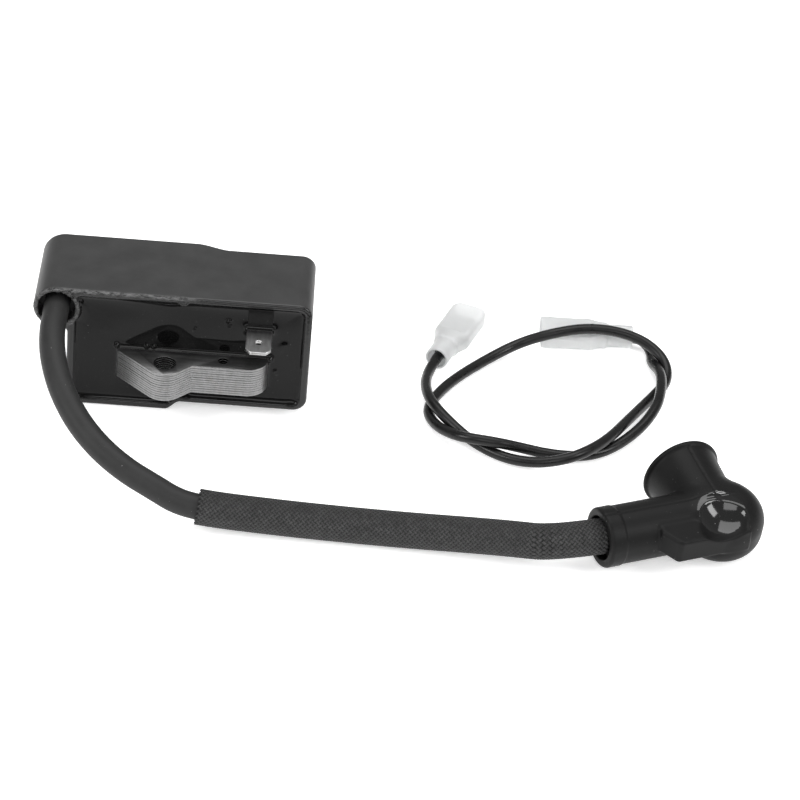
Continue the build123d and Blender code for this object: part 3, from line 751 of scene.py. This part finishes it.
def add_resin():
    """A fine grid for the front, sides going back from its edge, and one face behind."""
    (across, up), inset = RESIN_GRID, RESIN_INSET
    u, v = np.meshgrid(np.linspace(0, 1, across + 1), np.linspace(0, 1, up + 1), indexing="ij")
    low = foot(LEFT + inset + u * (CASE_WIDTH - 2 * inset)) + inset
    z = low + v * (TOP - inset - low)
    ring = TOWER_X + np.sqrt(np.maximum((TOWER_R - 0.4) ** 2 - (z - TOWER_Z) ** 2, 0))
    left = np.maximum(LEFT + inset, ring)
    x = left + u * (RIGHT - inset - left)
    tall, size = RESIN_WAVES
    waves = [tall * wander(a, 0, b, size, 3) for a, b in zip(x.ravel(), z.ravel())]
    y = RESIN_Y - resin_height(x, z) + np.array(waves).reshape(x.shape)
    count = (across + 1) * (up + 1)
    front = np.stack([x, y, z], -1).reshape(-1, 3)
    number = np.arange(count).reshape(across + 1, up + 1)
    quads = np.stack([number[:-1, :-1], number[1:, :-1], number[1:, 1:], number[:-1, 1:]],
                     -1).reshape(-1, 4).tolist()
    edge = np.concatenate([number[:-1, 0], number[-1, :-1], number[:0:-1, -1], number[0, :0:-1]])
    behind = front[edge].copy()
    behind[:, 1] = BACK_Y - BACK_STEP - WALL
    after = np.roll(np.arange(len(edge)), -1)
    sides = [(edge[i], count + i, count + j, edge[j]) for i, j in enumerate(after)]
    cap = [tuple(range(count + len(edge) - 1, count - 1, -1))]
    fill = mesh_piece("resin_fill", np.concatenate([front, behind]), quads + sides + cap)
    dress(sharpen(fill, 50), resin(), "module", "resin", "potting_resin")


# ---- core --------------------------------------------------------------------------------
SHEET_GAP = 0.07
SHEET_SHIFT = 0.07       # how far a sheet may lie out of line
SHEET_BEVEL = 0.07


def top_outline(node):
    """The flat top faces of a CAD node, as few faces as will hold its holes."""
    mesh = bmesh.new()
    mesh.from_mesh(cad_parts[node].data)
    bmesh.ops.remove_doubles(mesh, verts=mesh.verts, dist=1e-6)
    top = max(v.co.z for v in mesh.verts)
    lower = [f for f in mesh.faces if f.normal.z < 0.9 or f.calc_center_median().z < top - 1e-5]
    bmesh.ops.delete(mesh, geom=lower, context="FACES")
    bmesh.ops.dissolve_limit(mesh, angle_limit=radians(0.5), verts=mesh.verts, edges=mesh.edges)
    return mesh


def add_core():
    pattern = top_outline("core_stack")
    stack = bmesh.new()
    for i in range(SHEETS):
        sheet = pattern.copy()
        extruded = bmesh.ops.extrude_face_region(sheet, geom=sheet.faces[:])["geom"]
        moved = [g for g in extruded if isinstance(g, bmesh.types.BMVert)]
        drop = Vector((0, 0, -(SHEET - SHEET_GAP) * MM))
        bmesh.ops.translate(sheet, verts=moved, vec=drop)
        shift = Vector((wander(i * 3.1, 0, 0, 1, 4), wander(0, i * 2.7, 0, 1, 5), 0))
        shift = shift * SHEET_SHIFT - Vector((0, 0, i * SHEET))
        bmesh.ops.translate(sheet, verts=sheet.verts, vec=shift * MM)
        bmesh.ops.recalc_face_normals(sheet, faces=sheet.faces)
        mesh = bpy.data.meshes.new("sheet")
        sheet.to_mesh(mesh)
        stack.from_mesh(mesh)
        bpy.data.meshes.remove(mesh)
        sheet.free()
    data = bpy.data.meshes.new("core_laminations")
    stack.to_mesh(data)
    piece = link("core_laminations", data)
    bevel = piece.modifiers.new("edges", "BEVEL")
    bevel.width, bevel.segments = SHEET_BEVEL * MM, 2
    bevel.limit_method, bevel.angle_limit = "ANGLE", radians(50)
    bevelled = final_mesh(piece)
    piece.modifiers.clear()
    piece.data = bevelled
    dress(sharpen(piece, 35), core_steel(), "module", "core_steel", "core_stack")


# ---- tab ---------------------------------------------------------------------------------
TAB_BEVEL = 0.12
TAB_CORNER = (1.2, 1.5)      # what each corner of the tip loses, across and along
DETENT_R = 0.9
DETENT_FROM_TIP = 4.3


def plate(name, outlines, bevel, low_z, high_z):
    """A flat plate with holes; the first outline is its edge."""
    curve = bpy.data.curves.new(name, "CURVE")
    curve.dimensions, curve.fill_mode = "2D", "BOTH"
    for outline in outlines:
        spline = curve.splines.new("POLY")
        spline.points.add(len(outline) - 1)
        for point, (x, y) in zip(spline.points, outline):
            point.co = (x * MM, y * MM, 0, 1)
        spline.use_cyclic_u = True
    curve.extrude = ((high_z - low_z) / 2 - bevel) * MM
    curve.bevel_depth, curve.bevel_resolution = bevel * MM, 2
    curve.offset = -bevel * MM
    flat = link(name + "_curve", curve)
    mesh = final_mesh(flat)
    bpy.data.objects.remove(flat)
    mesh.transform(Matrix.Translation((0, 0, (high_z + low_z) / 2 * MM)))
    return sharpen(link(name, mesh), 40)


def circle_points(x, y, radius, count):
    return [(x + radius * cos(2 * pi * i / count), y + radius * sin(2 * pi * i / count))
            for i in range(count)]


def add_tab():
    left, right, tip, end = TAB_LOW.x, TAB_HIGH.x, TAB_LOW.y, TAB_HIGH.y
    across, along = TAB_CORNER
    edge = [(left, end), (left, tip + along), (left + across, tip), (right - across, tip),
            (right, tip + along), (right, end)]
    hole = circle_points((left + right) / 2, tip + DETENT_FROM_TIP, DETENT_R, 28)[::-1]
    tab = plate("kill_tab", [edge, hole], TAB_BEVEL, TAB_LOW.z, TAB_HIGH.z)
    dress(tab, tinned(), "module", "tinned", "spade_tab")


# ---- sleeve ------------------------------------------------------------------------------
CARRIERS = 22
YARN_WIDTH = 0.92
YARN_THICK = 0.24
WEAVE_HEIGHT = 0.16
YARN_SIDES = 8
YARN_STEP = 0.18         # from one ring of a yarn to the next
SLEEVE_IN_BOOT = 1.4
LINER_R = 3.85
LINER_BORE = 3.3
LINER_SIDES = 48


def frames_along(line, start, end, step):
    """Evenly spaced points from start to end on a line, with two directions across it."""
    first = np.argmin(np.linalg.norm(line - np.array(start), axis=1))
    last = np.argmin(np.linalg.norm(line - np.array(end), axis=1))
    part = line[first:last + 1]
    run = np.concatenate([[0], np.cumsum(np.linalg.norm(np.diff(part, axis=0), axis=1))])
    at = np.linspace(0, run[-1], int(run[-1] / step) + 1)
    centre = np.stack([np.interp(at, run, part[:, k]) for k in range(3)], 1)
    along = np.gradient(centre, axis=0)
    along /= np.linalg.norm(along, axis=1)[:, None]
    up = np.array([0, 0, 1.0]) - along[:, 2:3] * along
    up /= np.linalg.norm(up, axis=1)[:, None]
    return at, centre, along, up, np.cross(along, up)


def tube_mesh(rings):
    """Points and quads of closed rings joined in a row; the ends stay open."""
    count, sides = len(rings), len(rings[0])
    number = np.arange(count * sides).reshape(count, sides)
    turned = np.roll(number, -1, axis=1)
    quads = np.stack([number[:-1], turned[:-1], turned[1:], number[1:]], -1).reshape(-1, 4)
    return np.concatenate(rings), quads


def yarn(frames, phase, hand):
    """One flat strand winding round the lead, over and under the others.

    It comes with two values for each point: how far across the strand the point lies, and
    how far out the strand is there."""
    at, centre, along, up, side = frames
    radius = SLEEVE_R - WEAVE_HEIGHT - YARN_THICK / 2
    pitch = 2 * pi * radius / CARRIERS
    angle = phase + hand * at / radius
    height = radius + hand * WEAVE_HEIGHT * np.cos(2 * pi * at / pitch)
    out = up * np.cos(angle)[:, None] + side * np.sin(angle)[:, None]
    round_way = side * np.cos(angle)[:, None] - up * np.sin(angle)[:, None]
    across = (along - hand * round_way) / sqrt(2)
    middle = centre + out * height[:, None]
    section = [(cos(t), sin(t)) for t in np.linspace(0, 2 * pi, YARN_SIDES + 1)[:-1]]
    rings = np.stack([middle + across * (YARN_WIDTH / 2 * a) + out * (YARN_THICK / 2 * b)
                      for a, b in section], 1)
    points, quads = tube_mesh(rings)
    ends = [list(range(YARN_SIDES))[::-1], list(range(len(points) - YARN_SIDES, len(points)))]
    share = np.tile([0.5 + a / 2 for a, b in section], len(at))
    crest = 0.5 + 0.5 * hand * np.cos(2 * pi * at / pitch)
    return points, quads.tolist() + ends, share, np.repeat(crest, YARN_SIDES)


def add_sleeve(lead_line):
    route = lead_points()
    start = (route[SLEEVE_FROM] + route[SLEEVE_FROM + 1]) / 2
    end = FACE + SLEEVE_IN_BOOT * ALONG
    frames = frames_along(lead_line, start, end, YARN_STEP)
    points, faces, shares, crests, base = [], [], [], [], 0
    for hand in (1, -1):
        for k in range(CARRIERS):
            got, quads, share, crest = yarn(frames, 2 * pi * k / CARRIERS, hand)
            points.append(got)
            faces += [[base + n for n in face] for face in quads]
            shares.append(share)
            crests.append(crest)
            base += len(got)
    sleeve = mesh_piece("braided_sleeve_yarn", np.concatenate(points), faces)
    layer = sleeve.data.uv_layers.new(name="yarn")
    corner = np.zeros(len(sleeve.data.loops), int)
    sleeve.data.loops.foreach_get("vertex_index", corner)
    # the second value, how far out the yarn lies, becomes painted shade in the yarn's material
    uv = np.stack([np.concatenate(shares)[corner], np.concatenate(crests)[corner]], 1)
    layer.data.foreach_set("uv", uv.astype(np.float32).ravel())
    dress(sleeve, sleeve_yarn(), "module", "sleeve_braid", "braided_sleeve")
    return [sleeve, add_liner(lead_line, start, end)]


def add_liner(lead_line, start, end):
    """The sleeve's smooth inside; its cut ends show as a thin pale ring."""
    _, centre, _, up, side = frames_along(lead_line, start, end, 1.0)
    around = np.linspace(0, 2 * pi, LINER_SIDES + 1)[:-1]
    out = np.stack([up * cos(t) + side * sin(t) for t in around], 1)
    inner = [middle + ring * LINER_BORE for middle, ring in zip(centre, out)]
    outer = [middle + ring * LINER_R for middle, ring in zip(centre, out)]
    points, quads = tube_mesh([inner[0]] + outer + inner[::-1])
    liner = sharpen(mesh_piece("sleeve_liner", points, quads), 50)
    dress(liner, plain("sleeve_liner", 0.015, 0.03, 0.6), "module", "sleeve_braid")
    return liner


# ---- plug boot ---------------------------------------------------------------------------
ARM_R = 7.1
ARM_LENGTH = 29.5
ARM_RING = 4.0
PUCK = (1.8, -1.6, 10.6, 7.4, 6.4)         # the elbow: x, y, radius, half height, rounding
NECK_R = 8.1
PLUG_ARM = 17.0
RIM_R = 9.9
RIM = 1.2
MOUTH_R = 8.2
PLUG_BORE_R = 5.3
PLUG_BORE = (4.5, 10.5)                    # from and to, along the plug arm
CHAMBER_R = 4.6
CHAMBER_BACK = -4.0
RING_RISE = 0.22
GRIP = (-17.0, 4.5, -12.0, -1.0, 5.4)      # left, right, front, underside, top
GRIP_SLOPE = (2.8, 5.0)                    # its left end: along the lead, and out from it
DISH_AT = Vector((-0.8, -5.2, 7.0))
DISH_AIM = Vector((-0.15, -0.62, 0.77)).normalized()
DISH_R = 9.6
DISH_EDGE = 5.6
SEAM_STEP = 0.10
SEAM_GROOVE = (0.16, 0.22)                 # depth and half width
LEAD_GAP = 0.12
MOUTH_GAP = 0.95                           # round the sleeve, where it enters the boot
MOUTH_DEPTH = 2.2
BOOT_STEP = 0.27


def boot_place():
    """The boot's own axes: x along the lead, y along the plug arm, from the elbow's middle."""
    centre = FACE + ARM_LENGTH * ALONG
    lean = asin((RIM_R - centre.z) / PLUG_ARM)
    return (Matrix.Translation(centre) @ Matrix.Rotation(radians(BOOT_HEADING), 4, "Z")
            @ Matrix.Rotation(lean, 4, "X"))


def seam(offset):
    """A mould line: one side stands a little proud, with a fine groove between."""
    depth, half_width = SEAM_GROOVE
    step = SEAM_STEP * smoothstep(0.15, -0.15, offset)
    return step - depth * np.exp(-(offset / half_width) ** 2)


def boot_outside(x, y, z):
    """Arm over the lead, elbow, flared plug arm with its lip, and the grip block."""
    on_top = smoothstep(0, 2, z)
    ring_end = ARM_RING - ARM_LENGTH
    ring = RING_RISE * smoothstep(ring_end + 0.25, ring_end - 0.25, x)
    arm = np.hypot(y, z) - ARM_R - ring - on_top * seam(y)
    arm = common_round(common_round(arm, -ARM_LENGTH - x, 0.8), x, 1.0)
    px, py, radius, half, edge = PUCK
    puck = common_round(np.hypot(x - px, y - py) - radius, np.abs(z) - half, edge)
    rise = np.clip(y / (PLUG_ARM - RIM), 0, 1)
    wide = NECK_R + (RIM_R - 0.7 - NECK_R) * (0.45 * rise + 0.55 * rise ** 3)
    neck = np.hypot(x, z) - wide - on_top * seam(-x)
    neck = np.maximum(neck, np.maximum(-y, y - PLUG_ARM + 0.3))
    lip = common_round(np.hypot(x, z) - RIM_R, np.abs(y - PLUG_ARM + RIM / 2) - RIM / 2, 0.5)
    left, right, front, low, high = GRIP
    along, out = GRIP_SLOPE
    lead_in = (out - (y - front)).clip(0) * along / out
    slope = (left - x + lead_in) * 0.87      # about the cosine of the slope
    grip = common_round(front - y, np.maximum(low - z, z - high), 0.7)
    grip = common_round(grip, slope, 0.8)
    grip = np.maximum(grip, np.maximum(y, x - right))
    body = union_round(arm, puck, 1.6)
    body = union_round(body, union_round(neck, lip, 0.5), 1.2)
    return union_round(body, grip, 0.5)


def dish(x, y, z):
    """A shallow round hollow in the elbow's front, facing forwards and up."""
    centre = DISH_AT + DISH_AIM * sqrt(DISH_R ** 2 - DISH_EDGE ** 2)
    return np.sqrt((x - centre[0]) ** 2 + (y - centre[1]) ** 2 + (z - centre[2]) ** 2) - DISH_R


def boot_field(x, y, z):
    """The boot with its hollows: lead's bore and mouth, chamber, plug's bore and opening."""
    body = boot_outside(x, y, z)
    lead = np.hypot(y, z)
    bore = np.maximum(lead - LEAD_R - LEAD_GAP, x)
    mouth = np.maximum(lead - SLEEVE_R - MOUTH_GAP, x + ARM_LENGTH - MOUTH_DEPTH)
    from_axis = np.hypot(x, z)
    chamber = np.maximum(from_axis - CHAMBER_R, np.maximum(CHAMBER_BACK - y, y - PLUG_ARM))
    grips = np.maximum(from_axis - PLUG_BORE_R, PLUG_BORE[0] - y)
    opening = MOUTH_R * smoothstep(PLUG_BORE[1] - 2, PLUG_ARM, y)
    flare = np.maximum(from_axis - opening, PLUG_BORE[1] - 1.5 - y)
    for hollow, edge in ((bore, 0.3), (mouth, 0.4), (chamber, 0.3), (grips, 0.3), (flare, 0.5),
                         (dish(x, y, z), 0.35)):
        body = cut_round(body, hollow, edge)
    return body


def add_boot():
    place = boot_place()
    low = (-ARM_LENGTH - 1, PUCK[1] - PUCK[2] - 1, -RIM_R - 1)
    high = (PUCK[0] + PUCK[2] + 1, PLUG_ARM + 1, RIM_R + 1)
    boot = field_piece("plug_boot", boot_field, low, high, BOOT_STEP, place)
    dress(boot, rubber("boot_rubber", 0.0045, 0.42, 0.7, 0.02, 0.13), "boot", "boot_rubber",
          "boot_elbow")
    boot.data.materials.append(rubber("boot_polished", 0.004, 0.05, 2.0, 0.004, 0.5))
    dish_at = place @ DISH_AT * MM
    for face in boot.data.polygons:
        face.material_index = (face.center - dish_at).length < (DISH_EDGE + 0.2) * MM
    return [boot, add_spring(place)]


def add_spring(place):
    """The contact: a prong from the lead's end, and a coil that meets the plug's terminal."""
    turns, steps, radius, wire, pitch = 5, 16, 3.7, 0.45, 1.5
    turned = [(2 * pi * i / steps, pitch * i / steps) for i in range(turns * steps + 1)]
    helix = [(radius * cos(angle), -3.2 + rise, radius * sin(angle)) for angle, rise in turned]
    prong = [(-ARM_LENGTH + LEAD_IN_BOOT - 4.0, 0, 0), (-6.0, 0, 0), (-4.4, -1.2, 0),
             (-0.3, -3.2, 0), (2.6, -3.2, -1.4)]
    points = [place @ Vector(p) for p in prong + helix]
    spring = cord_curve("contact_spring_wire", points, wire)
    dress(spring, plain("spring_steel", 0.45, 0.62, 0.25, 1.0), "boot", "spring_steel",
          "contact_spring")
    return spring


# ---- kill lead's ends --------------------------------------------------------------------
COVER = (16.8, 9.6, 5.1)                # length, width, height
COVER_WALL = 0.55
COVER_SHOULDER = 4.2
COVER_TAPER = 1.7                       # narrower at the neck by this, on each side
COVER_LIP = 0.4                         # and at the mouth
COVER_BELLY = 0.15                      # flatter halfway
COVER_ROUND = 1.6
COVER_STEP = 0.19
CLIP = (4.0, 12.5, 3.7, 1.45)           # start, end, half width, half height
CLIP_WALL = 0.4
CLIP_ROUND = 0.9
CLIP_STEP = 0.16
STRIP_HALF = 1.1
CRIMP = (1.65, 0.2, -3.0, 1.5)          # radius, half wall, middle, half length
BARREL = (1.1, 0.28, 1.2, 1.6)


def cover_outside(x, y, z, inset):
    """The cover's outside or, with an inset, its hollow, which runs out at both ends."""
    length, width, height = COVER
    narrow = COVER_TAPER * smoothstep(COVER_SHOULDER, 0, x)
    narrow = narrow + COVER_LIP * smoothstep(length - 1.6, length, x)
    belly = COVER_BELLY * smoothstep(2, 8, x) * smoothstep(length, 9, x)
    half_width = width / 2 - inset - narrow
    half_height = height / 2 - inset - belly
    past = inset * 9
    body = rounded_box(y, z, half_width, half_height, COVER_ROUND - inset)
    body = np.maximum(body, np.maximum(inset - x, x - length - past))
    neck = np.hypot(y, z) - COVER_NECK_R + inset
    neck = np.maximum(neck, np.maximum(-COVER_NECK - past - x, x - 3))
    return union_round(body, neck, 1.3)


def cover_field(x, y, z):
    return cut_round(cover_outside(x, y, z, 0), cover_outside(x, y, z, COVER_WALL), 0.12)


def pipe(x, around, radius, half_wall, middle, half_length):
    """A short open pipe round the wire's axis."""
    return np.maximum(np.abs(around - radius) - half_wall, np.abs(x - middle) - half_length)


def terminal_field(x, y, z):
    """A receptacle: curled clip, strip, open crimp on the jacket and barrel on the strands."""
    start, end, half_width, half_height = CLIP
    section = rounded_box(y, z, half_width, half_height, CLIP_ROUND)
    shell = np.abs(section + CLIP_WALL / 2) - CLIP_WALL / 2
    gap = np.maximum(np.abs(y) - 0.5, -z)
    clip = np.maximum(cut_round(shell, gap, 0.15), np.maximum(start - x, x - end))
    around = np.hypot(y, z)
    radius, half_wall, middle, half_length = CRIMP
    strip = np.abs(z + half_height - CLIP_WALL / 2) - CLIP_WALL / 2
    strip = np.maximum(np.abs(y) - STRIP_HALF, strip)
    strip = np.maximum(strip, np.maximum(middle - half_length - x, x - start - 0.5))
    crimp = cut_round(pipe(x, around, *CRIMP), np.hypot(y, z - radius - half_wall) - 0.25, 0.1)
    whole = union_round(union_round(clip, strip, 0.2), crimp, 0.15)
    return np.minimum(whole, pipe(x, around, *BARREL))


def add_ends():
    pieces = []
    pvc, brass = cover_pvc(), plain("terminal_brass", 0.42, 0.66, 0.2, 1.0, 1.2, 0.02)
    cover_box = (-COVER_NECK - 1, -6, -4), (COVER[0] + 1, 6, 4)
    clip_box = (CRIMP[2] - CRIMP[3] - 1, -5, -2.4), (CLIP[1] + 1, 5, 2.6)
    for side, end in (("a", KILL_A), ("b", KILL_B)):
        place = terminal_place(end)
        cover = field_piece(f"cover_{side}", cover_field, *cover_box, COVER_STEP, place)
        dress(cover, pvc, f"cover_{side}", "cover_pvc", f"terminal_cover_{side}")
        clip = field_piece(f"receptacle_{side}", terminal_field, *clip_box, CLIP_STEP, place)
        dress(clip, brass, "kill_lead", "terminal_brass", f"terminal_{side}")
        pieces += [cover, clip]
    return pieces


# ---- pieces kept as CAD made them --------------------------------------------------------
def dress_hidden():
    coats = {"core_rivets": plain("rivet_steel", 0.35, 0.5, 0.35, 1.0),
             "primary_bobbin": plain("bobbin_nylon", (0.6, 0.55, 0.42), (0.7, 0.65, 0.52), 0.4),
             "primary_winding": copper_wire(),
             "control_board": plain("board_green", (0.02, 0.09, 0.04), (0.03, 0.13, 0.06), 0.35),
             "switching_transistor": plain("chip_black", 0.012, 0.02, 0.45),
             "board_resistors": plain("resistor_lacquer", (0.45, 0.33, 0.18),
                                      (0.55, 0.42, 0.24), 0.3),
             "storage_capacitor": plain("capacitor_dip", (0.28, 0.03, 0.02), (0.4, 0.05, 0.03),
                                        0.2),
             "earth_strap": tinned(),
             "ht_grommet": rubber("grommet_rubber", 0.010, 0.5)}
    shared = {"secondary_bobbin": "primary_bobbin", "secondary_winding": "primary_winding",
              "control_ic": "switching_transistor", "clamp_diode": "switching_transistor",
              "ht_link": "earth_strap", "ht_spike": "earth_strap"}
    for node in list(coats) + list(shared):
        material = coats[shared.get(node, node)]
        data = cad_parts[node].data
        data.materials.clear()
        data.materials.append(material)


# ---- run ---------------------------------------------------------------------------------
add_camera()
add_studio()
lead, wire = add_cords()
add_case()
add_resin()
add_core()
add_tab()
on_lead = add_sleeve(line_of(lead_points())) + add_boot()
on_wire = add_ends()
dress_hidden()
